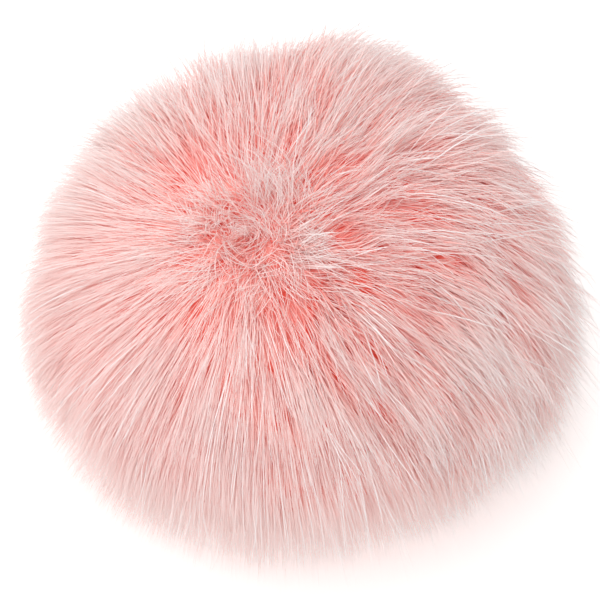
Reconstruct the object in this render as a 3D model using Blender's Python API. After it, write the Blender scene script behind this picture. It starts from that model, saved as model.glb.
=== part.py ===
"""A fur pompom about 120 mm across, resting on its pile.

It is one solid: a lumpy ball of packed pile with curved, pointed locks that grow out of it. The locks part
at a whorl near the top and lie outwards and down from it. The lowest ones bend out along the floor, with
their flat undersides level on it. Metres, +Z up, with the origin under the middle on the floor.
"""

import math

import bmesh
import bpy
import numpy as np

# Driving sizes
BALL_WIDTH = 0.120  # across the tips, left to right
BALL_DEPTH = 0.114  # across the tips, front to back
BALL_HEIGHT = 0.083  # from the floor to the top tips
PACKED_SHARE = 0.82  # radius of the packed pile over the radius to the tips
FLAT_SPOT_RADIUS = 0.026  # where the ball is pressed flat on the floor

# The whorl, as the outward direction at which the pile parts
WHORL_TILT = math.radians(14.0)  # away from straight up
WHORL_TURN = math.radians(214.0)  # about +Z from +X, so it leans to the front left
WHORL_REACH = math.radians(38.0)  # the pile lies over fully this far from the whorl
SWIRL = math.radians(-15.0)  # how far the lie turns on the ball's right; clockwise from above

# Locks
LOCK_SITES = 328  # over the whole ball; those on the flat spot are left out
CROWDING = 0.10  # how much closer the sites stand about the whorl than on the other side
LOCK_SHAPE = [  # shares of the width and thickness at each ring; the tip is a point
    {"width": 0.75, "thickness": 0.20},
    {"width": 1.00, "thickness": 1.00},
    {"width": 0.88, "thickness": 0.85},
    {"width": 0.52, "thickness": 0.50},
]
LOCK_RINGS = len(LOCK_SHAPE)
LOCK_WIDTH = 0.0076  # of a flank lock; shorter ones are slimmer
LOCK_THICKNESS = 0.0037
LOCK_ROOT_DEPTH = 0.0023  # how far a root starts inside the packed pile
LOCK_LENGTHS = {"whorl": 0.0135, "flank": 0.0195, "low": 0.0150}
LOCK_LIFTS = {"whorl": 60.0, "flank": 42.0, "low": 80.0}  # degrees off the surface
LIFT_LOST = math.radians(18.0)  # a lock lies this much flatter at its tip, but for the low ones
LOW_DIP = math.radians(42.0)  # the low locks run outwards, this far below level
LENGTH_SPREAD = 0.10  # of its length, either way
LEAN_SPREAD = math.radians(4.0)
DROOP = 0.08  # how far gravity turns a tip down

# Where the pile feels the floor
FLOOR_ZONE = 0.0035  # a lock starts to level out this high
FLOOR_SNAP = 0.0008  # below this it lies on the floor
LOWEST_ROOT = 0.0035
LOW_ROOT = 0.016  # roots below this grow shorter locks

# Lumps of the ball: bearing in the plane that faces a camera 60 degrees up, height above it, gain, reach
VIEW_ELEVATION = math.radians(60.0)
LUMPS = [
    {"bearing": 70, "toward": 0, "gain": 0.030, "reach": 26},
    {"bearing": 240, "toward": 0, "gain": 0.030, "reach": 24},
    {"bearing": 335, "toward": 0, "gain": 0.040, "reach": 30},
    {"bearing": 128, "toward": 0, "gain": -0.045, "reach": 30},
    {"bearing": 35, "toward": 0, "gain": -0.030, "reach": 22},
    {"bearing": 290, "toward": 0, "gain": -0.030, "reach": 24},
    {"bearing": 20, "toward": 40, "gain": 0.035, "reach": 20},
    {"bearing": 200, "toward": 35, "gain": 0.030, "reach": 22},
    {"bearing": 275, "toward": 45, "gain": 0.025, "reach": 20},
]

PILE_COLOUR = (0.87, 0.50, 0.48, 1.0)
PILE_ROUGHNESS = 0.85

UP = np.array([0.0, 0.0, 1.0])
# The ball's tips reach this ellipsoid, whose middle is low enough to press the flat spot on the floor
TIP_RADII = np.array([BALL_WIDTH / 2, BALL_DEPTH / 2, 0.0])
SPOT_SHARE = FLAT_SPOT_RADIUS / (PACKED_SHARE * BALL_WIDTH / 2)
SPOT_DROP = PACKED_SHARE * math.sqrt(1 - SPOT_SHARE**2)
TIP_RADII[2] = BALL_HEIGHT / (1 + SPOT_DROP)
MIDDLE = np.array([0.0, 0.0, SPOT_DROP * TIP_RADII[2]])


def unit(vectors):
    """Vectors scaled to length 1; those with no length stay as they are."""
    lengths = np.linalg.norm(vectors, axis=-1, keepdims=True)
    return vectors / np.maximum(lengths, 1e-12)


def smooth_step(low, high, value):
    """0 before low, 1 after high, and a smooth rise between them."""
    share = np.clip((value - low) / (high - low), 0, 1)
    return share * share * (3 - 2 * share)


def direction(tilt, turn):
    """The direction that leans tilt away from +Z, turned about +Z from +X."""
    return np.array(
        [
            math.sin(tilt) * math.cos(turn),
            math.sin(tilt) * math.sin(turn),
            math.cos(tilt),
        ]
    )


def lump_direction(lump):
    """Where a lump points: its bearing round the outline, raised toward the camera."""
    bearing = math.radians(lump["bearing"])
    toward = math.radians(lump["toward"])
    right = np.array([1.0, 0.0, 0.0])
    camera_up = np.array([0.0, math.sin(VIEW_ELEVATION), math.cos(VIEW_ELEVATION)])
    to_camera = np.array([0.0, -math.cos(VIEW_ELEVATION), math.sin(VIEW_ELEVATION)])
    around = math.cos(bearing) * right + math.sin(bearing) * camera_up
    return math.cos(toward) * around + math.sin(toward) * to_camera


def lumpiness(directions):
    """The ball's radius over the plain ellipsoid's, in each direction."""
    gain = np.ones(len(directions))
    for lump in LUMPS:
        angle = np.arccos(np.clip(directions @ lump_direction(lump), -1, 1))
        gain += lump["gain"] * np.exp(-((angle / math.radians(lump["reach"])) ** 2))
    return gain


def packed_point(directions):
    """The packed pile's surface in each direction from the ball's middle."""
    radii = PACKED_SHARE * TIP_RADII * lumpiness(directions)[:, None]
    return MIDDLE + directions * radii


def surface_normal(points):
    """Outward normal of the ball through each point."""
    return unit((points - MIDDLE) / TIP_RADII**2)


WHORL = direction(WHORL_TILT, WHORL_TURN)


def whorl_share(normals):
    """1 at the whorl, 0 where the pile lies over fully."""
    angle = np.arccos(np.clip(normals @ WHORL, -1, 1))
    return 1 - smooth_step(0.0, WHORL_REACH, angle)


def low_share(normals):
    """0 well above the ball's waist, 1 on the part that faces the floor."""
    return smooth_step(-0.25, 0.60, -normals[:, 2])


def mixed(values, normals):
    """A value given at the whorl, on the flank and low down, blended for each normal."""
    whorl, low = whorl_share(normals), low_share(normals)
    return (
        values["whorl"] * whorl
        + values["low"] * low
        + values["flank"] * (1 - whorl - low)
    )


def lie(normals):
    """The direction in which the pile lies: away from the whorl, and swirled on the ball's right."""
    away = unit(normals * (normals @ WHORL)[:, None] - WHORL)
    across = np.cross(normals, away)
    turn = SWIRL * smooth_step(-0.3, 0.5, normals[:, 0])[:, None]
    return away * np.cos(turn) + across * np.sin(turn)


def lock_sites():
    """Outward directions of the roots, on a golden-angle spiral about the whorl."""
    index = np.arange(LOCK_SITES) + 0.5
    height = 1 - 2 * index / LOCK_SITES
    height += CROWDING * (1 - height**2)
    turn = index * math.pi * (3 - math.sqrt(5))
    ring = np.sqrt(1 - height**2)
    first = unit(np.cross(UP, WHORL))
    second = np.cross(WHORL, first)
    return (
        height[:, None] * WHORL
        + (ring * np.cos(turn))[:, None] * first
        + (ring * np.sin(turn))[:, None] * second
    )


def lock_spines():
    """Each lock's underside middle at its rings and tip, its sideways and upward directions, and its girth."""
    random = np.random.default_rng(7)
    roots = packed_point(lock_sites())
    roots = roots[roots[:, 2] > LOWEST_ROOT]
    count = len(roots)
    normals = surface_normal(roots)
    height_share = smooth_step(0.0, LOW_ROOT, roots[:, 2])
    lengths = mixed(LOCK_LENGTHS, normals) * (0.75 + 0.25 * height_share)
    lengths *= 1 + LENGTH_SPREAD * random.uniform(-1, 1, count)
    lifts = np.radians(mixed(LOCK_LIFTS, normals))
    lifts += LEAN_SPREAD * random.uniform(-1, 1, count)
    lifts_lost = LIFT_LOST * (1 - low_share(normals))
    leans = LEAN_SPREAD * random.uniform(-1, 1, count)

    points = roots - normals * LOCK_ROOT_DEPTH
    spines, sides, ups = [], [], []
    for ring in range(LOCK_RINGS + 1):
        share = ring / LOCK_RINGS
        normals = surface_normal(points)
        flow = lie(normals)
        flow = flow + np.cross(normals, flow) * np.tan(leans)[:, None]
        lift = lifts - lifts_lost * share
        heading = unit(flow) * np.cos(lift)[:, None] + normals * np.sin(lift)[:, None]
        outward = unit(normals * [1, 1, 0])
        outward = outward + np.cross(UP, outward) * np.tan(leans)[:, None]
        low_heading = unit(outward) * math.cos(LOW_DIP) - UP * math.sin(LOW_DIP)
        low = low_share(normals)[:, None]
        heading = unit(heading * (1 - low) + low_heading * low - UP * DROOP * share)
        height = np.maximum(points[:, 2], 0)
        level = 1 - smooth_step(0.0, FLOOR_ZONE, height)
        steepest = -height / FLOOR_ZONE
        heading[:, 2] = np.where(
            level > 0, np.maximum(heading[:, 2], steepest), heading[:, 2]
        )
        heading = unit(heading)
        upright = np.maximum(level, low_share(normals))[:, None]
        above = unit(normals * (1 - upright) + UP * upright)
        side = unit(np.cross(heading, above))
        spines.append(points)
        sides.append(side)
        ups.append(np.cross(side, heading))
        points = points + heading * (lengths / LOCK_RINGS)[:, None]
        points[:, 2] = np.where(points[:, 2] < FLOOR_SNAP, 0.0, points[:, 2])
    girths = np.sqrt(lengths / LOCK_LENGTHS["flank"])
    return np.array(spines), np.array(sides), np.array(ups), girths


def add_lock(mesh, spine, sides, ups, girth):
    """One closed lock: three-sided rings, flat beneath and ridged on top, drawn out to a point."""
    rings = []
    for ring, shape in enumerate(LOCK_SHAPE):
        half_width = girth * shape["width"] * LOCK_WIDTH / 2
        thickness = girth * shape["thickness"] * LOCK_THICKNESS
        left = spine[ring] - sides[ring] * half_width
        right = spine[ring] + sides[ring] * half_width
        ridge = spine[ring] + ups[ring] * thickness
        rings.append([mesh.verts.new(corner) for corner in (left, right, ridge)])
    tip = mesh.verts.new(spine[LOCK_RINGS])
    mesh.faces.new(rings[0])
    for near, far in zip(rings, rings[1:]):
        for corner in range(3):
            after = (corner + 1) % 3
            mesh.faces.new((near[corner], near[after], far[after], far[corner]))
    for corner in range(3):
        mesh.faces.new((rings[-1][corner], rings[-1][(corner + 1) % 3], tip))


def linked_object(name, mesh, collection):
    """A new object of the mesh in the collection."""
    bmesh.ops.recalc_face_normals(mesh, faces=mesh.faces)
    data = bpy.data.meshes.new(name)
    mesh.to_mesh(data)
    mesh.free()
    made = bpy.data.objects.new(name, data)
    collection.objects.link(made)
    return made


def build_locks(collection):
    """All the locks as one mesh, to be joined to the ball."""
    spines, sides, ups, girths = lock_spines()
    mesh = bmesh.new()
    for lock, girth in enumerate(girths):
        add_lock(mesh, spines[:, lock], sides[:, lock], ups[:, lock], girth)
    return linked_object("locks", mesh, collection)


def build_ball(collection):
    """The packed pile: a lumpy ball with a flat spot where it is pressed on the floor."""
    mesh = bmesh.new()
    bmesh.ops.create_icosphere(mesh, subdivisions=3, radius=1.0)
    points = packed_point(unit(np.array([vertex.co for vertex in mesh.verts])))
    points[:, 2] = np.maximum(points[:, 2], 0.0)
    for vertex, point in zip(mesh.verts, points):
        vertex.co = point
    return linked_object("fur_ball", mesh, collection)


def pile_material():
    """Matt pink pile."""
    material = bpy.data.materials.new("pink_pile")
    material.use_nodes = True
    shader = material.node_tree.nodes["Principled BSDF"]
    shader.inputs["Base Color"].default_value = PILE_COLOUR
    shader.inputs["Roughness"].default_value = PILE_ROUGHNESS
    shader.inputs["Metallic"].default_value = 0.0
    return material


def centred(points):
    """Points moved so that the middle of their box is over the origin."""
    middle = (points.min(axis=0) + points.max(axis=0)) / 2
    return points - [middle[0], middle[1], 0.0]


def fuse(ball, locks):
    """The locks' roots become one solid with the ball."""
    union = ball.modifiers.new("grow_locks", "BOOLEAN")
    union.operation = "UNION"
    union.solver = "MANIFOLD"
    union.object = locks
    graph = bpy.context.evaluated_depsgraph_get()
    joined = bpy.data.meshes.new_from_object(ball.evaluated_get(graph))
    ball.modifiers.remove(union)
    points = centred(np.array([vertex.co for vertex in joined.vertices]))
    joined.vertices.foreach_set("co", points.ravel())
    ball.data = joined
    bpy.data.objects.remove(locks)


def clear_scene():
    for leftover in list(bpy.data.objects):
        bpy.data.objects.remove(leftover)


def main():
    clear_scene()
    collection = bpy.data.collections.new("pompom")
    bpy.context.scene.collection.children.link(collection)
    ball = build_ball(collection)
    fuse(ball, build_locks(collection))
    ball.data.materials.clear()
    ball.data.materials.append(pile_material())
    ball.data.set_sharp_from_angle(angle=math.radians(50))


main()
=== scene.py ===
# Pink fur pompom: the looks of the part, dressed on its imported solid.
# Metres, +Z up. The camera looks along +Y and down on the ball.
import math

import bpy
import numpy as np
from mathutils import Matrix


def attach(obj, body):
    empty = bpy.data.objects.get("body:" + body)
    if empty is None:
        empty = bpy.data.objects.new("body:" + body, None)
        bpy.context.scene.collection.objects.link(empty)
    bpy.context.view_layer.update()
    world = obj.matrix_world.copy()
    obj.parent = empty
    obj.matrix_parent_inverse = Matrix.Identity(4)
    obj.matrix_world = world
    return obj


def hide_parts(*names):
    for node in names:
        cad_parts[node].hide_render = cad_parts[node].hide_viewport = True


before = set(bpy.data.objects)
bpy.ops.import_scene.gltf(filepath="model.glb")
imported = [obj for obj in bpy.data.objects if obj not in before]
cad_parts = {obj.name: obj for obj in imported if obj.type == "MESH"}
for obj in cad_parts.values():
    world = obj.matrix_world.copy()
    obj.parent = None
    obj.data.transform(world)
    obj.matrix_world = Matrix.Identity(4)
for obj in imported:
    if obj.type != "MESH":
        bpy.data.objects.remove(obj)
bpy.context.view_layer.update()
scene = bpy.context.scene

# The ball's own form, as in the part's source
ball = {
    "width": 0.120,  # across the tips
    "depth": 0.114,
    "height": 0.083,
    "packedShare": 0.82,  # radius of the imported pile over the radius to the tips
    "spotRadius": 0.026,  # the flat spot it rests on
    "whorlTilt": 15.5,  # degrees away from straight up
    "whorlTurn": 238.0,  # about +Z from +X
    "whorlReach": 38.0,  # the pile lies over fully this far from the whorl
    "swirl": -27.0,  # clockwise, on the side at swirlBearing
    "swirlBearing": 15.0,
    "viewElevation": 60.0,
}
# Lumps: bearing in the plane that faces the camera, degrees toward it, gain in radius, reach
lumps = [
    {"bearing": 70, "toward": 0, "gain": 0.030, "reach": 26},
    {"bearing": 240, "toward": 0, "gain": 0.030, "reach": 24},
    {"bearing": 335, "toward": 0, "gain": 0.040, "reach": 30},
    {"bearing": 128, "toward": 0, "gain": -0.045, "reach": 30},
    {"bearing": 35, "toward": 0, "gain": -0.030, "reach": 22},
    {"bearing": 290, "toward": 0, "gain": -0.030, "reach": 24},
    {"bearing": 20, "toward": 40, "gain": 0.035, "reach": 20},
    {"bearing": 200, "toward": 35, "gain": 0.030, "reach": 22},
    {"bearing": 275, "toward": 45, "gain": 0.025, "reach": 20},
]

# Where the pile parts down to the dyed roots, with painted shade on the strands beside it: bearing
# and degrees toward the camera, as above, then half the length along the pile and half the width,
# in mm
partings = [
    (128, 74, 2.2, 0.77), (118, 77, 1.4, 0.61), (140, 77, 1.6, 0.61), (100, 72, 2.1, 0.76),
    (146, 80, 1.2, 0.43), (114, 60, 2.0, 0.86), (123, 60, 1.6, 0.61), (135, 63, 1.2, 0.43),
    (134, 57, 1.2, 0.34), (90, 50, 2.8, 1.31), (71, 58, 4.3, 1.61), (100, 64, 2.1, 0.54),
    (58, 72, 3.8, 1.04), (38, 70, 3.3, 1.04), (33, 53, 3.3, 1.31), (188, 78, 2.0, 0.61),
    (191, 84, 2.4, 0.77), (10, 87, 2.0, 0.61), (8, 82, 1.8, 0.61), (239, 83, 1.8, 0.43),
    (297, 77, 3.1, 0.61), (318, 76, 2.2, 0.77), (326, 72, 3.3, 0.95), (2, 64, 2.1, 1.04),
    (352, 66, 1.8, 0.83), (337, 63, 2.2, 0.61), (349, 54, 3.1, 1.05), (13, 56, 3.0, 1.31),
    (359, 38, 2.8, 1.05), (352, 43, 2.2, 0.83), (297, 67, 3.1, 0.77), (305, 57, 3.1, 0.77),
    (323, 48, 2.2, 0.61), (253, 62, 4.5, 0.52), (269, 62, 3.4, 0.52), (54, 46, 3.0, 1.04),
    (47, 61, 3.0, 1.04), (84, 42, 2.3, 1.04),
]
# Where the pile is shorter, or longer where less than nothing is lost: bearing, degrees toward the
# camera, share of its length lost, reach
trims = [
    {"bearing": 190, "toward": 0, "lost": -0.08, "reach": 38},
    {"bearing": 38, "toward": 0, "lost": 0.30, "reach": 26},
    {"bearing": 105, "toward": 0, "lost": 0.16, "reach": 28},
    {"bearing": 355, "toward": 0, "lost": -0.34, "reach": 22},
]

# Sides of the ball, as the two ends of a smooth step along a bearing or an axis
zones = {
    "low": (-0.25, 0.60),  # along -Z, from above the waist to where it faces the floor
    "left": (0.10, 0.85),  # along -X
    "ruffled": (-0.30, 0.12),  # along ruffledBearing, from the calm lower left
    "ruffledBearing": 40,
    "rim": (0.55, 0.95),  # along rimBearing
    "rimBearing": 140,
    "swirled": (0.05, 0.75),  # along the ball's swirlBearing
    "guarded": (-0.3, 0.5),  # along guardedBearing, where most guard hairs are
    "guardedBearing": 325,
}
# How much calmer the pile lies on its calm side
calmness = {
    "unrest": 1.15,  # on the ruffled side
    "unrestLost": 0.95,
    "liftLost": 0.12,  # share by which it lies flatter
    "girthLost": 0.32,  # share by which its strands are thinner
    "dyeLost": 0.70,  # share of the dye's range that each strand no longer runs through
}

up = np.array([0.0, 0.0, 1.0])


def unit(vectors):
    # each vector over its own length
    lengths = np.linalg.norm(vectors, axis=-1, keepdims=True)
    return vectors / np.maximum(lengths, 1e-12)


def smoothStep(low, high, value):
    # 3 t squared minus 2 t cubed, where t runs from 0 at low to 1 at high
    t = np.clip((value - low) / (high - low), 0, 1)
    return t * t * (3 - 2 * t)


def fromAngles(tilt, turn):
    # the direction tilted away from +Z and turned about it from +X, in degrees
    tilt, turn = math.radians(tilt), math.radians(turn)
    return np.array(
        [
            math.sin(tilt) * math.cos(turn),
            math.sin(tilt) * math.sin(turn),
            math.cos(tilt),
        ]
    )


def cameraAxes():
    # right, up and toward the camera, for a camera raised by viewElevation
    raised = math.radians(ball["viewElevation"])
    return (
        np.array([1.0, 0.0, 0.0]),
        np.array([0.0, math.sin(raised), math.cos(raised)]),
        np.array([0.0, -math.cos(raised), math.sin(raised)]),
    )


def fromBearing(bearing, toward):
    # bearing round the outline as the camera sees it, then raised toward the camera, in degrees
    right, upward, forward = cameraAxes()
    bearing, toward = math.radians(bearing), math.radians(toward)
    around = math.cos(bearing) * right + math.sin(bearing) * upward
    return math.cos(toward) * around + math.sin(toward) * forward


# The tips reach an ellipsoid whose middle is low enough to press the spot flat on the floor
spotShare = ball["spotRadius"] / (ball["packedShare"] * ball["width"] / 2)
spotDrop = ball["packedShare"] * math.sqrt(1 - spotShare**2)
tipHeight = ball["height"] / (1 + spotDrop)
tipRadii = np.array([ball["width"] / 2, ball["depth"] / 2, tipHeight])
middle = np.array([0.0, 0.0, spotDrop * tipHeight])
whorl = fromAngles(ball["whorlTilt"], ball["whorlTurn"])


def lumpiness(directions):
    # 1 plus, for each lump, its gain times a bell curve of the angle to it over its reach
    gain = np.ones(len(directions))
    for lump in lumps:
        centre = fromBearing(lump["bearing"], lump["toward"])
        angle = np.degrees(np.arccos(np.clip(directions @ centre, -1, 1)))
        gain += lump["gain"] * np.exp(-((angle / lump["reach"]) ** 2))
    return gain


def trimmed(directions):
    # 1 less, for each trim, its loss times a bell curve of the angle to it over its reach
    kept = np.ones(len(directions))
    for trim in trims:
        centre = fromBearing(trim["bearing"], trim["toward"])
        angle = np.degrees(np.arccos(np.clip(directions @ centre, -1, 1)))
        kept -= trim["lost"] * np.exp(-((angle / trim["reach"]) ** 2))
    return kept


def ballPoints(directions, share):
    # the middle plus the direction times the tip radii, the share and the lumps
    return middle + directions * tipRadii * (share * lumpiness(directions))[:, None]


def ballNormals(points):
    # gradient of the ellipsoid through each point
    return unit((points - middle) / tipRadii**2)


def whorlShare(normals):
    # 1 at the whorl, 0 past its reach
    angle = np.degrees(np.arccos(np.clip(normals @ whorl, -1, 1)))
    return 1 - smoothStep(0.0, ball["whorlReach"], angle)


def lowShare(normals):
    # 0 above the waist, 1 on the part that faces the floor
    return smoothStep(*zones["low"], -normals[:, 2])


def calm(normals):
    # 1 on the lower left, where the pile lies smooth, 0 on the upper right
    ruffledSide = fromBearing(zones["ruffledBearing"], 0)
    return 1 - smoothStep(*zones["ruffled"], normals @ ruffledSide)


def unrest(normals):
    # how far the pile is ruffled
    return calmness["unrest"] - calmness["unrestLost"] * calm(normals)


def leftShare(normals):
    # 0 right of the middle, 1 at the far left
    return smoothStep(*zones["left"], -normals[:, 0])


def rimShare(normals):
    # 1 at the outline on the lit upper left, 0 well inside it; the strands there are painted paler,
    # a painted lightening of the lit side
    return smoothStep(*zones["rim"], normals @ fromBearing(zones["rimBearing"], 0))


def byPlace(values, normals):
    # a value given at the whorl, on the flank and low down, mixed by the two shares
    atWhorl, low = whorlShare(normals), lowShare(normals)
    return (
        values["whorl"] * atWhorl
        + values["low"] * low
        + values["flank"] * (1 - atWhorl - low)
    )


def lie(normals):
    # along the surface away from the whorl, turned by the swirl on one side
    away = unit(normals * (normals @ whorl)[:, None] - whorl)
    across = np.cross(normals, away)
    side = normals @ fromBearing(ball["swirlBearing"], 0)
    turn = math.radians(ball["swirl"]) * smoothStep(*zones["swirled"], side)[:, None]
    return away * np.cos(turn) + across * np.sin(turn)


def softNoise(points, size, seed):
    # eight sine waves of about the given size, in random directions, added up
    random = np.random.default_rng(seed)
    waves = unit(random.normal(size=(8, 3))) * 2 * math.pi / size
    waves *= random.uniform(0.7, 1.3, (8, 1))
    phases = random.uniform(0, 2 * math.pi, 8)
    return np.sin(points @ waves.T + phases).sum(axis=1) / math.sqrt(8)


def spiralDirections(count):
    # evenly spread: height falls by equal steps while the turn grows by the golden angle
    index = np.arange(count) + 0.5
    height = 1 - 2 * index / count
    turn = index * math.pi * (3 - math.sqrt(5))
    ring = np.sqrt(1 - height**2)
    return np.stack([ring * np.cos(turn), ring * np.sin(turn), height], axis=1)


comb = {
    "crowding": 0.24,  # the pile is this much denser round the whorl and thinner beneath
    "whorlFill": 0.05,  # and stands on packed pile that is this much higher there
    "corePower": 6,  # the whorl's share to this power is its core, where no lie wins
    "liftLost": 18.0,  # degrees flatter at the tip than at the root
    "lowDip": 42.0,  # the low strands run outwards, this far below level
    "droop": 0.10,  # share of the heading that gravity takes by the tip
    "floorZone": 0.004,  # strands level out this near the floor
    "floorGap": 0.00025,
    "lowest": 0.0001,  # height of the lowest corner of a strand
    "substeps": 2,
}


def combed(roots, lengths, lifts, leans, shares):
    # marches all strands at once: a step heads along the lie, leaned sideways, lifted off the
    # surface, outwards when low, pulled down towards the tip, and no steeper than lets it settle
    # on the floor
    points, stops = roots.copy(), [roots.copy()]
    lean = np.radians(leans)[:, None]
    for start, end in zip(shares, shares[1:]):
        for part in range(comb["substeps"]):
            share = start + (end - start) * part / comb["substeps"]
            normals = ballNormals(points)
            flow = lie(normals)
            flow = flow * np.cos(lean) + np.cross(normals, flow) * np.sin(lean)
            low = lowShare(normals)[:, None]
            lift = np.radians(lifts - comb["liftLost"] * share)[:, None]
            outward = unit(normals * [1, 1, 0])
            outward = outward * np.cos(lean) + np.cross(up, outward) * np.sin(lean)
            dip = math.radians(comb["lowDip"])
            heading = (flow * np.cos(lift) + normals * np.sin(lift)) * (1 - low)
            heading += (outward * math.cos(dip) - up * math.sin(dip)) * low
            heading = unit(heading - up * comb["droop"] * share)
            height = np.maximum(points[:, 2] - comb["floorGap"], 0)
            steepest = -height / comb["floorZone"]
            heading[:, 2] = np.maximum(heading[:, 2], steepest)
            step = lengths * (end - start) / comb["substeps"]
            points = points + unit(heading) * step[:, None]
        stops.append(points.copy())
    return np.stack(stops, axis=1)


partingForm = {
    "share": 0.93,  # of the radius to the tips, at its middle
    "depth": 0.020,
    "edge": 0.33,  # widths over which strands are swept aside
    "fade": 3,  # widths over which the push dies away
    "cleftPaintedShadeFade": 2.2,  # widths over which the strands are painted deeper, a painted shade along the cleft
    "cleftPaintedShade": 0.5,
}


def parted(paths):
    # moves strands aside from each parting, across the lie: by its width times the hyperbolic
    # tangent of the distance over the edge, dying away in bell curves along it and beyond the fade;
    # the second result is how near each strand's middle is to a parting
    points, near = paths.reshape(-1, 3).copy(), np.zeros(paths.shape[:2]).ravel()
    edge, fade, cleftPaintedShadeFade = (partingForm[key] for key in ("edge", "fade", "cleftPaintedShadeFade"))
    for bearing, toward, length, width in partings:
        length, width = length / 1000, width / 1000
        centre = ballPoints(fromBearing(bearing, toward)[None], partingForm["share"])
        normal = ballNormals(centre)
        along = lie(normal)[0]
        across = np.cross(normal[0], along)
        offsets = points - centre
        onward, aside = offsets @ along, offsets @ across
        push = width * np.tanh(aside / (edge * width)) * np.exp(-((aside / (fade * width)) ** 2))
        inReach = offsets @ normal[0] > -partingForm["depth"]
        here = np.exp(-((onward / length) ** 2)) * inReach
        points += (push * here)[:, None] * across
        near = np.maximum(near, here * np.exp(-((aside / (cleftPaintedShadeFade * width)) ** 2)))
    return points.reshape(paths.shape), near.reshape(paths.shape[:2])[:, 1:3].max(axis=1)


def whorlFill(directions):
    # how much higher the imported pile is, as a share of the radius to the tips
    return comb["whorlFill"] * whorlShare(directions) ** 2


growth = {
    "scatter": 0.3,  # of the clumps, over one over the root of their number
    "stretch": (0.45, 1.20),  # least and most of the length for the place
    "lifts": (8, 88),
    "waveSize": 0.016,  # of the waves in which lift changes over the ball
    "leanWave": 1.4,  # the waves of lean are this much longer
    "waveSeeds": (11, 12),
    "gatherPower": 1.3,  # gathering grows as the share of the length to this power
    "strayPull": 0.15,  # what is left of it for a stray
    "girthSpread": 0.2,
    "girths": (0.5, 1.6),
    "tones": (0.02, 0.97),
}


def growStrands(kind):
    # tufts on a spiral, locks scattered round each tuft, strands scattered round each lock; a
    # strand runs its own way and is gathered towards its lock's, and a lock's towards its tuft's
    random = np.random.default_rng(kind["seed"])
    shares = np.array(kind["shares"])
    reach = kind["rootShare"] * tipRadii.mean()
    families = []
    sites = spiralDirections(kind["clumps"])
    sites = unit(sites + kind.get("crowding", comb["crowding"]) * whorl)
    scatter = growth["scatter"] / math.sqrt(kind["clumps"])
    sites = unit(sites + random.normal(0, scatter, sites.shape))
    if "elsewhereKept" in kind:
        here = smoothStep(*zones["guarded"], sites @ fromBearing(zones["guardedBearing"], 0))
        kept = kind["elsewhereKept"] + (1 - kind["elsewhereKept"]) * here
        sites = sites[random.random(len(sites)) < kept]
    for level in kind["levels"]:
        if families:
            sites = np.repeat(sites, level["each"], axis=0)
            sites = unit(sites + random.normal(0, level["spread"] / reach, sites.shape))
        roots = ballPoints(sites, kind["rootShare"] + whorlFill(sites))
        roots[:, 2] = np.maximum(roots[:, 2], comb["floorGap"] * 2)
        normals = ballNormals(roots)
        count = len(roots)
        core = whorlShare(normals) ** comb["corePower"]
        restless = unrest(normals)
        ruffle = restless + core
        lifts = random.normal(0, level["lift"], count) * ruffle
        leans = random.normal(0, level["lean"], count) * ruffle
        leans += random.normal(0, level.get("mess", 0.0), count) * core
        stretch = random.normal(0, level["length"], count)
        tones = random.normal(0, level["tone"], count) * ruffle
        if families:
            before = families[-1]
            carry = {
                key: np.repeat(before[key], level["each"], axis=0) for key in before
            }
            lifts, leans = lifts + carry["lifts"], leans + carry["leans"]
            stretch, tones = stretch + carry["stretch"], tones + carry["tones"]
        lengths = byPlace(kind["lengths"], normals) * np.clip(1 + stretch, *growth["stretch"])
        lengths *= trimmed(sites)
        flatter = 1 - calmness["liftLost"] * calm(normals)
        liftSeed, leanSeed = growth["waveSeeds"]
        own = byPlace(kind["lifts"], normals) * flatter + lifts
        own += kind["waveLift"] * restless * softNoise(roots, growth["waveSize"], liftSeed)
        leanSize = growth["waveSize"] * growth["leanWave"]
        bent = leans + kind["waveLean"] * restless * softNoise(roots, leanSize, leanSeed)
        paths = combed(roots, lengths, np.clip(own, *growth["lifts"]), bent, shares)
        if families:
            gather = level["gather"] * shares ** growth["gatherPower"]
            strays = random.random(count) < level["stray"]
            loyal = np.where(strays, growth["strayPull"], 1.0)
            pull = gather[None, :, None] * (loyal * restless)[:, None, None]
            paths = paths + (carry["paths"] - paths) * pull
        families.append(
            {
                "paths": paths,
                "lifts": lifts,
                "leans": leans,
                "stretch": stretch,
                "tones": tones,
            }
        )
    paths, tones = families[-1]["paths"], families[-1]["tones"]
    stray = random.normal(0, kind["waviness"], (len(paths), 1, 3))
    paths = paths + stray * (shares**2)[None, :, None]
    if kind.get("parts"):
        paths, near = parted(paths)
        # painted shade: strands beside a parting are painted deeper, which darkens the cleft
        tones = tones - partingForm["cleftPaintedShade"] * near
    paths[:, :, 2] = np.maximum(paths[:, :, 2], comb["floorGap"])
    normals = ballNormals(paths[:, 0])
    rim, settled = rimShare(normals), calm(normals)
    leftTone = kind.get("leftTone", 0.0)
    tones = byPlace(kind["tones"], normals) + leftTone * leftShare(normals) + tones
    tones += kind.get("litRimPaintedLight", 0.0) * rim + kind.get("calmPaintedLight", 0.0) * settled
    # painted light: the strands may grow palest low down, which lightens the underside's shade, and
    # at the upper-left rim, which paints the lit side paler
    leastTone, mostTone = growth["tones"]
    palest = kind.get("palest", mostTone)
    palest = palest + (mostTone - palest) * np.maximum(lowShare(normals), rim)
    spread = random.normal(0, growth["girthSpread"], len(paths))
    girths = kind["width"] * np.clip(1 + spread, *growth["girths"])
    girths *= 1 - calmness["girthLost"] * settled
    return paths, girths, np.clip(tones, leastTone, palest)


strandForm = {
    "roll": 0.7,  # how far the flat side may turn from facing outwards
    "corners": (90.0, 210.0, 330.0),  # degrees round the strand
    "mapWidth": 0.012,
    "rootTip": 0.02,  # where the root's middle lies on the map
    "lowPaintedLight": 0.40,  # painted light: share of the way to the tip's dye that the low strands are moved, which lightens the underside's shade
}


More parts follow.
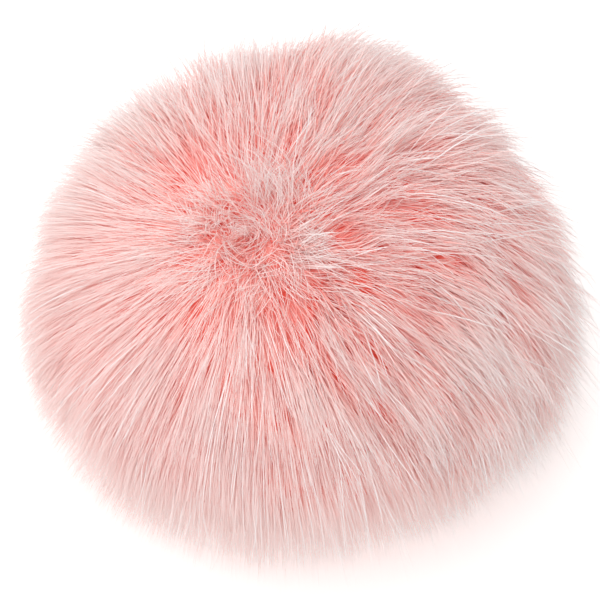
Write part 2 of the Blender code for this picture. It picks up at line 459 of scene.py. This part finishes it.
def strandMesh(name, kind, paths, girths, tones):
    # each strand is a closed three-sided tube: a corner sits at the path point plus the girth over
    # the root of 3 times the profile, times cosine of its angle along the side vector and sine
    # along the up vector
    count, rings = len(paths), len(kind["shares"]) - 1
    headings = unit(np.diff(paths, axis=1))
    headings[:, 1:] = unit(headings[:, 1:] + headings[:, :-1])
    # a flat side faces outwards, less so where the pile is ruffled
    random = np.random.default_rng(kind["seed"] + 100)
    normals = ballNormals(paths[:, 1])
    turned = unit(random.normal(size=(count, 3))) * strandForm["roll"] * unrest(normals)[:, None]
    first = unit(np.cross(headings[:, 0], normals + turned))
    along = (first[:, None] * headings).sum(axis=2, keepdims=True)
    sides = unit(first[:, None] - along * headings)
    uppers = np.cross(headings, sides)
    angles = np.radians(strandForm["corners"])
    radii = (girths[:, None] / math.sqrt(3)) * np.array(kind["profile"])[None, :]
    ring = (
        np.cos(angles)[None, None, :, None] * sides[:, :, None]
        + np.sin(angles)[None, None, :, None] * uppers[:, :, None]
    )
    corners = paths[:, :rings, None] + ring * radii[:, :, None, None]
    points = np.concatenate([corners.reshape(count, -1, 3), paths[:, -1:]], axis=1)
    points[:, :, 2] = np.maximum(points[:, :, 2], comb["lowest"])

    # one strand's triangles, and each corner's share along and across it; all others repeat them
    faces, across, onward = [(0, 2, 1)], [(0, 1, 0)], [(0, 0, 0)]
    shares = kind["shares"]
    for low in range(rings - 1):
        for corner in range(3):
            a, b = 3 * low + corner, 3 * low + (corner + 1) % 3
            faces += [(a, b, b + 3), (a, b + 3, a + 3)]
            across += [(0, 1, 1), (0, 1, 0)]
            onward += [
                (shares[low], shares[low], shares[low + 1]),
                (shares[low], shares[low + 1], shares[low + 1]),
            ]
    for corner in range(3):
        last = 3 * (rings - 1)
        faces.append((last + corner, last + (corner + 1) % 3, 3 * rings))
        across.append((0, 1, 0.5))
        onward.append((shares[rings - 1], shares[rings - 1], 1))
    onward[0] = (0, 0, strandForm["rootTip"])
    faces = np.array(faces)
    starts = np.arange(count) * points.shape[1]
    allFaces = faces[None] + starts[:, None, None]
    mapAcross = tones[:, None, None] + strandForm["mapWidth"] * np.array(across)[None]
    # the part of the dye that a strand runs through, narrower where the pile is calm
    start, end = kind["dyeSpan"]
    middling = (start + end) / 2
    narrowed = 1 - calmness["dyeLost"] * calm(normals)[:, None, None]
    mapOnward = middling + (start + (end - start) * np.array(onward)[None] - middling) * narrowed
    # painted light: low strands are moved towards their pale tips, to lighten the underside's shade
    mapOnward += (1 - mapOnward) * strandForm["lowPaintedLight"] * lowShare(normals)[:, None, None]
    return makeMesh(
        name,
        points.reshape(-1, 3),
        allFaces.reshape(-1, 3),
        np.stack([mapAcross, mapOnward], axis=-1).reshape(-1, 2),
        flat=True,
    )


def makeMesh(name, points, faces, mapPoints=None, flat=False):
    # triangles from whole arrays; the map has one point for each face corner
    mesh = bpy.data.meshes.new(name)
    mesh.vertices.add(len(points))
    mesh.vertices.foreach_set("co", points.astype(np.float32).ravel())
    mesh.loops.add(faces.size)
    mesh.loops.foreach_set("vertex_index", faces.astype(np.int32).ravel())
    mesh.polygons.add(len(faces))
    mesh.polygons.foreach_set("loop_start", np.arange(0, faces.size, 3, dtype=np.int32))
    mesh.update(calc_edges=True)
    if mapPoints is not None:
        layer = mesh.uv_layers.new(name="OFBake")
        layer.uv.foreach_set("vector", mapPoints.astype(np.float32).ravel())
    mesh.validate()
    if flat:
        mesh.shade_flat()
    else:
        mesh.shade_smooth()
    made = bpy.data.objects.new(name, mesh)
    scene.collection.objects.link(made)
    return made


def hexColour(text):
    # sRGB to linear: below 0.04045 over 12.92, else (c + 0.055) over 1.055 to the power 2.4
    values = [int(text[i : i + 2], 16) / 255 for i in (1, 3, 5)]
    linear = [v / 12.92 if v <= 0.04045 else ((v + 0.055) / 1.055) ** 2.4 for v in values]
    return (*linear, 1.0)


def addNode(tree, kind, settings=None, inputs=None, links=None):
    # a node with its settings, its input values, and links given as input name to output socket
    node = tree.nodes.new(kind)
    for key, value in (settings or {}).items():
        setattr(node, key, value)
    for key, value in (inputs or {}).items():
        node.inputs[key].default_value = value
    for key, socket in (links or {}).items():
        tree.links.new(socket, node.inputs[key])
    return node


def setRamp(node, stops):
    # colour stops as position and sRGB hex
    ramp = node.color_ramp
    ramp.interpolation = "EASE"
    while len(ramp.elements) < len(stops):
        ramp.elements.new(0.5)
    for element, (position, colour) in zip(ramp.elements, stops):
        element.position = position
        element.color = hexColour(colour)


def newMaterial(name):
    # a plain shader with no metal in it
    material = bpy.data.materials.new(name)
    material.use_nodes = True
    tree = material.node_tree
    shader = tree.nodes["Principled BSDF"]
    shader.inputs["Metallic"].default_value = 0.0
    return material, tree, shader


# Dyed modacrylic pile: the dye is strongest at the root, and the tips are brushed nearly white
pileDye = {
    "coral": [(0.0, "#FD766A"), (0.34, "#FDA69C"), (0.64, "#FDD0CA"), (1.0, "#FDEFED")],
    "pale": [(0.0, "#FDAEA5"), (0.34, "#FDE5E1"), (0.64, "#FDF3F1"), (1.0, "#FDFBFB")],
    "roughness": (0.62, 0.48),
    "specular": 0.25,
    "sheen": 0.15,
    "sheenRoughness": 0.4,
}
# Coarser guard hairs that took almost no dye, so they draw bright lines over the pile
guardDye = {
    "coral": [(0.0, "#FBAFA6"), (0.25, "#FBE2DF"), (0.60, "#FDF6F5"), (1.0, "#FFFEFE")],
    "pale": [(0.0, "#FBC4BD"), (0.25, "#FCEEEC"), (0.60, "#FEFBFB"), (1.0, "#FFFFFF")],
    "roughness": (0.45, 0.32),
    "specular": 0.45,
    "sheen": 0.10,
    "sheenRoughness": 0.4,
}


def pileMaterial(name, dye):
    # the map's upward way runs from root to tip, and its sideways way is how pale a strand is
    material, tree, shader = newMaterial(name)
    place = addNode(tree, "ShaderNodeUVMap", {"uv_map": "OFBake"})
    split = addNode(tree, "ShaderNodeSeparateXYZ", links={"Vector": place.outputs["UV"]})
    ramps = []
    for stops in (dye["coral"], dye["pale"]):
        ramp = addNode(tree, "ShaderNodeValToRGB", links={"Fac": split.outputs["Y"]})
        setRamp(ramp, stops)
        ramps.append(ramp)
    blend = addNode(
        tree,
        "ShaderNodeMix",
        {"data_type": "RGBA"},
        links={
            "Factor": split.outputs["X"],
            6: ramps[0].outputs["Color"],
            7: ramps[1].outputs["Color"],
        },
    )
    tree.links.new(blend.outputs[2], shader.inputs["Base Color"])
    rough = addNode(
        tree,
        "ShaderNodeMapRange",
        inputs={"To Min": dye["roughness"][0], "To Max": dye["roughness"][1]},
        links={"Value": split.outputs["Y"]},
    )
    tree.links.new(rough.outputs["Result"], shader.inputs["Roughness"])
    shader.inputs["Specular IOR Level"].default_value = dye["specular"]
    shader.inputs["Sheen Weight"].default_value = dye["sheen"]
    shader.inputs["Sheen Roughness"].default_value = dye["sheenRoughness"]
    return material


# Packed pile deep in the ball, where the dye shows at its fullest
innerPile = {
    "share": 0.81,  # of the radius to the tips
    "around": 120,
    "down": 60,
    "ripple": 0.0007,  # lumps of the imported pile
    "rippleSize": 0.008,
    "rippleSeed": 21,
    "lowest": 0.0012,
    "deep": "#F26455",
    "light": "#FAABA1",
    "rampEnds": (0.52, 0.74),
    "patchSize": 0.0050,  # where more and less of the dye shows
    "paintedLightColour": "#FBD3CE",  # painted light: paler towards the left and low down, which lightens the shade in the gaps there and under the ball
    "paintedLightAlong": (0.8, 0.0, 0.9),  # rises away from there
    "paintedLightFrom": (0.0, 0.055),
    "paintedLightMost": 0.85,
    "fibreSize": 0.0006,
    "fibreShare": 0.3,
    "bump": 0.6,
    "bumpHeight": 0.0004,
    "roughness": 0.85,
    "specular": 0.2,
}


def innerPileObject():
    # a ball on a grid of turn and tilt, its radius the share plus soft noise, flat at the floor
    turns = np.linspace(0, 2 * math.pi, innerPile["around"], endpoint=False)
    tilts = np.linspace(0, math.pi, innerPile["down"] + 1)[1:-1]
    tilt, turn = np.meshgrid(tilts, turns, indexing="ij")
    directions = np.stack(
        [np.sin(tilt) * np.cos(turn), np.sin(tilt) * np.sin(turn), np.cos(tilt)], axis=-1
    ).reshape(-1, 3)
    directions = np.concatenate([directions, [[0, 0, 1.0]], [[0, 0, -1.0]]])
    points = ballPoints(directions, innerPile["share"] + whorlFill(directions))
    ripple = softNoise(points, innerPile["rippleSize"], innerPile["rippleSeed"])
    ripple *= innerPile["ripple"]
    points += directions * ripple[:, None]
    points[:, 2] = np.maximum(points[:, 2], innerPile["lowest"])
    across, rows = innerPile["around"], len(tilts)
    row, column = np.meshgrid(np.arange(rows - 1), np.arange(across), indexing="ij")
    a, b = row * across + column, row * across + (column + 1) % across
    c, d = a + across, b + across
    quads = np.stack([a, c, d, a, d, b], axis=-1).reshape(-1, 3)
    edge = np.arange(across)
    beside = (edge + 1) % across
    top, bottom = rows * across, rows * across + 1
    last = (rows - 1) * across
    topCap = np.stack([np.full(across, top), edge, beside], axis=1)
    bottomCap = np.stack([np.full(across, bottom), last + beside, last + edge], axis=1)
    return makeMesh("inner_pile", points, np.concatenate([quads, topCap, bottomCap]))


def innerPileMaterial():
    # fine fibres on broad patches mix the deep and the light dye, and the fibres raise the bump
    material, tree, shader = newMaterial("packed pile")
    place = addNode(tree, "ShaderNodeTexCoord")
    fibres = addNode(
        tree,
        "ShaderNodeTexNoise",
        inputs={"Scale": 1 / innerPile["fibreSize"], "Detail": 3.0, "Roughness": 0.6},
        links={"Vector": place.outputs["Object"]},
    )
    patches = addNode(
        tree,
        "ShaderNodeTexNoise",
        inputs={"Scale": 1 / innerPile["patchSize"], "Detail": 1.0},
        links={"Vector": place.outputs["Object"]},
    )
    amount = addNode(
        tree,
        "ShaderNodeMath",
        {"operation": "MULTIPLY_ADD"},
        {1: innerPile["fibreShare"]},
        {0: fibres.outputs["Fac"], 2: patches.outputs["Fac"]},
    )
    colours = addNode(tree, "ShaderNodeValToRGB", links={"Fac": amount.outputs["Value"]})
    deepEnd, lightEnd = innerPile["rampEnds"]
    setRamp(colours, [(deepEnd, innerPile["deep"]), (lightEnd, innerPile["light"])])
    bump = addNode(
        tree,
        "ShaderNodeBump",
        inputs={"Strength": innerPile["bump"], "Distance": innerPile["bumpHeight"]},
        links={"Height": fibres.outputs["Fac"]},
    )
    # painted light: the packed pile turns paler towards the left and low down, to lighten the shade
    # there
    along = addNode(
        tree,
        "ShaderNodeVectorMath",
        {"operation": "DOT_PRODUCT"},
        {1: innerPile["paintedLightAlong"]},
        {0: place.outputs["Object"]},
    )
    fading = addNode(
        tree,
        "ShaderNodeMapRange",
        {"interpolation_type": "SMOOTHSTEP"},
        {
            "From Min": innerPile["paintedLightFrom"][0],
            "From Max": innerPile["paintedLightFrom"][1],
            "To Min": innerPile["paintedLightMost"],
            "To Max": 0.0,
        },
        {"Value": along.outputs["Value"]},
    )
    paled = addNode(
        tree,
        "ShaderNodeMix",
        {"data_type": "RGBA"},
        {7: hexColour(innerPile["paintedLightColour"])},
        {"Factor": fading.outputs["Result"], 6: colours.outputs["Color"]},
    )
    tree.links.new(paled.outputs[2], shader.inputs["Base Color"])
    tree.links.new(bump.outputs["Normal"], shader.inputs["Normal"])
    shader.inputs["Roughness"].default_value = innerPile["roughness"]
    shader.inputs["Specular IOR Level"].default_value = innerPile["specular"]
    return material


# Strands are drawn two to six times as thick as the real 0.05 mm, so that they show.
# The long pile: strands gathered into tufts, the tufts into locks and the locks into clumps
longPile = {
    "seed": 3,
    "rootShare": 0.79,
    "clumps": 325,
    # of each level in turn: spread of lift and lean in degrees, of length as a share, and of tone;
    # mess adds to the lean at the whorl
    "levels": [
        {"lift": 5.0, "lean": 6.0, "mess": 60.0, "length": 0.07, "tone": 0.12},
        {"each": 5, "spread": 0.0036, "lift": 4.5, "lean": 4.0, "mess": 10.0, "length": 0.07,
         "tone": 0.12, "gather": 0.40, "stray": 0.05},
        {"each": 6, "spread": 0.0022, "lift": 3.5, "lean": 3.0, "length": 0.06,
         "tone": 0.08, "gather": 0.36, "stray": 0.05},
        {"each": 5, "spread": 0.0012, "lift": 2.5, "lean": 2.0, "length": 0.22,
         "tone": 0.07, "gather": 0.40, "stray": 0.08},
    ],
    "lengths": {"whorl": 0.0095, "flank": 0.0160, "low": 0.0120},
    "lifts": {"whorl": 36.0, "flank": 33.0, "low": 60.0},
    # the low tone is painted light: strands low down are paler, to lighten the underside's shade
    "tones": {"whorl": 0.86, "flank": 0.71, "low": 0.97},
    "leftTone": -0.10,
    # painted light: strands at the lit upper-left rim are paler
    "litRimPaintedLight": 0.30,
    "palest": 0.90,
    "waveLift": 4.0,
    "waveLean": 6.0,
    "waviness": 0.0007,
    "width": 0.00013,
    "dyeSpan": (0.01, 0.99),
    "shares": [0.0, 0.38, 0.72, 1.0],
    "profile": [0.90, 1.00, 0.60],
    "parts": True,
    "pieces": 5,
}
# Short curly pile beneath it, which fills the gaps
shortPile = {
    "seed": 5,
    "rootShare": 0.80,
    "clumps": 1650,
    "levels": [
        {"lift": 6.0, "lean": 10.0, "length": 0.08, "tone": 0.08},
        {"each": 5, "spread": 0.0016, "lift": 8.0, "lean": 12.0, "length": 0.12,
         "tone": 0.10, "gather": 0.35, "stray": 0.2},
    ],
    "lengths": {"whorl": 0.0060, "flank": 0.0080, "low": 0.0080},
    "lifts": {"whorl": 60.0, "flank": 30.0, "low": 40.0},
    # the low tone is painted light: the short pile low down is paler, to lighten the underside's
    # shade
    "tones": {"whorl": 0.08, "flank": 0.34, "low": 0.95},
    # painted light: the short pile is paler on the left and the calm lower left, to lighten the
    # shade in the gaps there
    "leftTone": 0.18,
    "calmPaintedLight": 0.42,
    "waveLift": 6.0,
    "waveLean": 8.0,
    "waviness": 0.0007,
    "width": 0.00028,
    "dyeSpan": (0.01, 0.60),
    "shares": [0.0, 0.5, 1.0],
    "profile": [0.90, 0.80],
}
# Straight white guard hairs in fours, which stand a little proud and cross the others
guardHair = {
    "seed": 9,
    "rootShare": 0.82,
    "clumps": 420,
    "elsewhereKept": 0.30,
    "levels": [
        {"lift": 6.0, "lean": 14.0, "length": 0.10, "tone": 0.15},
        {"each": 4, "spread": 0.0014, "lift": 3.0, "lean": 7.0, "length": 0.15,
         "tone": 0.10, "gather": 0.5, "stray": 0.2},
    ],
    "lengths": {"whorl": 0.0080, "flank": 0.0185, "low": 0.0120},
    "lifts": {"whorl": 50.0, "flank": 34.0, "low": 60.0},
    "tones": {"whorl": 0.80, "flank": 0.85, "low": 0.90},
    "waveLift": 4.0,
    "waveLean": 7.0,
    "waviness": 0.0010,
    "width": 0.00016,
    "dyeSpan": (0.01, 0.99),
    "shares": [0.0, 0.28, 0.54, 0.78, 1.0],
    "profile": [0.8, 1.0, 0.95, 0.65],
}

# Small locks that cross each other at the whorl, where no way of lying wins
crossedPile = {
    "seed": 13,
    "rootShare": 0.80,
    "clumps": 130,
    "crowding": 5.5,
    "levels": [
        {"lift": 8.0, "lean": 10.0, "mess": 80.0, "length": 0.10, "tone": 0.14},
        {"each": 7, "spread": 0.0010, "lift": 4.0, "lean": 4.0, "mess": 7.0, "length": 0.14,
         "tone": 0.14, "gather": 0.3, "stray": 0.2},
    ],
    "lengths": {"whorl": 0.0085, "flank": 0.0090, "low": 0.0090},
    "lifts": {"whorl": 34.0, "flank": 34.0, "low": 34.0},
    "tones": {"whorl": 0.72, "flank": 0.72, "low": 0.72},
    "waveLift": 4.0,
    "waveLean": 6.0,
    "waviness": 0.0004,
    "width": 0.00013,
    "dyeSpan": (0.20, 0.99),
    "shares": [0.0, 0.38, 0.72, 1.0],
    "profile": [0.90, 1.00, 0.70],
}

# Fine wisps, longer than the rest, which soften the outline
wispHair = {
    "seed": 17,
    "rootShare": 0.80,
    "clumps": 1500,
    "levels": [
        {"lift": 7.0, "lean": 8.0, "length": 0.10, "tone": 0.08},
        {"each": 2, "spread": 0.0020, "lift": 5.0, "lean": 6.0, "length": 0.14,
         "tone": 0.08, "gather": 0.2, "stray": 0.3},
    ],
    "lengths": {"whorl": 0.0075, "flank": 0.0205, "low": 0.0120},
    "lifts": {"whorl": 50.0, "flank": 36.0, "low": 60.0},
    "tones": {"whorl": 0.80, "flank": 0.85, "low": 0.90},
    "waveLift": 4.0,
    "waveLean": 6.0,
    "waviness": 0.0010,
    "width": 0.00010,
    "dyeSpan": (0.01, 0.99),
    "shares": [0.0, 0.38, 0.72, 1.0],
    "profile": [0.90, 1.00, 0.70],
}

dyed = pileMaterial("dyed modacrylic pile", pileDye)
undyed = pileMaterial("undyed guard hair", guardDye)


def dress(piece, material):
    # gives a piece its material, hangs it on the root body and hides the solid it stands for
    piece.data.materials.append(material)
    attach(piece, "root")
    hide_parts("fur_ball")


inner = innerPileObject()
dress(inner, innerPileMaterial())
print("packed pile made", len(inner.data.polygons))

paths, girths, tones = growStrands(longPile)
turns = np.arctan2(paths[:, 0, 1], paths[:, 0, 0])
for number, chosen in enumerate(np.array_split(np.argsort(turns), longPile["pieces"])):
    name = "long_pile_" + str(number + 1)
    piece = strandMesh(name, longPile, paths[chosen], girths[chosen], tones[chosen])
    dress(piece, dyed)
    print(name, len(chosen), "strands", len(piece.data.polygons), "triangles")
for name, kind, material in (
    ("short_pile", shortPile, dyed),
    ("guard_hair", guardHair, undyed),
    ("crossed_pile", crossedPile, dyed),
    ("wisp_hair", wispHair, dyed),
):
    paths, girths, tones = growStrands(kind)
    piece = strandMesh(name, kind, paths, girths, tones)
    dress(piece, material)
    print(name, len(paths), "strands", len(piece.data.polygons), "triangles")

studio = {
    "floorColour": "#EAE8E6",
    "floorHalf": 3.0,
    "floorRoughness": 0.9,
    "floorGlow": 0.42,
    "worldColour": "#FFFFFF",
    "worldStrength": 0.42,
    "keyPower": 9.5,
    "keySize": 1.2,
    "keyPlace": (-0.22, -0.10, 0.96),
    "lens": 120.0,
    "sensor": 36.0,
    "distance": 0.400,
    "aim": (0.0008, -0.003, 0.034),
    "bounces": 9,  # light passes between pale strands many times before it leaves the pile
}


def makeStudio():
    # a wide pale floor, an even white sky and one soft key light from above and a little left;
    # the paper lies on a light table, which takes most of the shade from it
    half = studio["floorHalf"]
    corners = np.array([[-half, -half, 0], [half, -half, 0], [half, half, 0], [-half, half, 0]])
    floor = makeMesh("floor", corners, np.array([[0, 1, 2], [0, 2, 3]]))
    material, tree, shader = newMaterial("matt pale paper")
    shader.inputs["Base Color"].default_value = hexColour(studio["floorColour"])
    shader.inputs["Roughness"].default_value = studio["floorRoughness"]
    shader.inputs["Emission Color"].default_value = (1.0, 1.0, 1.0, 1.0)
    shader.inputs["Emission Strength"].default_value = studio["floorGlow"]
    floor.data.materials.append(material)
    world = bpy.data.worlds.new("studio")
    world.use_nodes = True
    sky = world.node_tree.nodes["Background"]
    sky.inputs["Color"].default_value = hexColour(studio["worldColour"])
    sky.inputs["Strength"].default_value = studio["worldStrength"]
    scene.world = world
    light = bpy.data.lights.new("key", "AREA")
    light.energy, light.size = studio["keyPower"], studio["keySize"]
    key = bpy.data.objects.new("key", light)
    key.location = studio["keyPlace"]
    aim = np.array(studio["aim"])
    key.rotation_euler = lookAt(np.array(studio["keyPlace"]), aim)
    scene.collection.objects.link(key)
    lens = bpy.data.cameras.new("camera")
    lens.lens, lens.sensor_width = studio["lens"], studio["sensor"]
    camera = bpy.data.objects.new("camera", lens)
    place = aim + cameraAxes()[2] * studio["distance"]
    camera.location = place
    camera.rotation_euler = lookAt(place, aim)
    scene.collection.objects.link(camera)
    scene.camera = camera
    scene.view_settings.view_transform = "Standard"
    scene.cycles.diffuse_bounces = studio["bounces"]


def lookAt(place, aim):
    # tilt from straight down and turn about +Z, so that -Z of the object points at the aim
    line = aim - place
    flat = math.hypot(line[0], line[1])
    return (math.atan2(flat, -line[2]), 0.0, math.atan2(-line[0], line[1]))


makeStudio()
print("studio made")
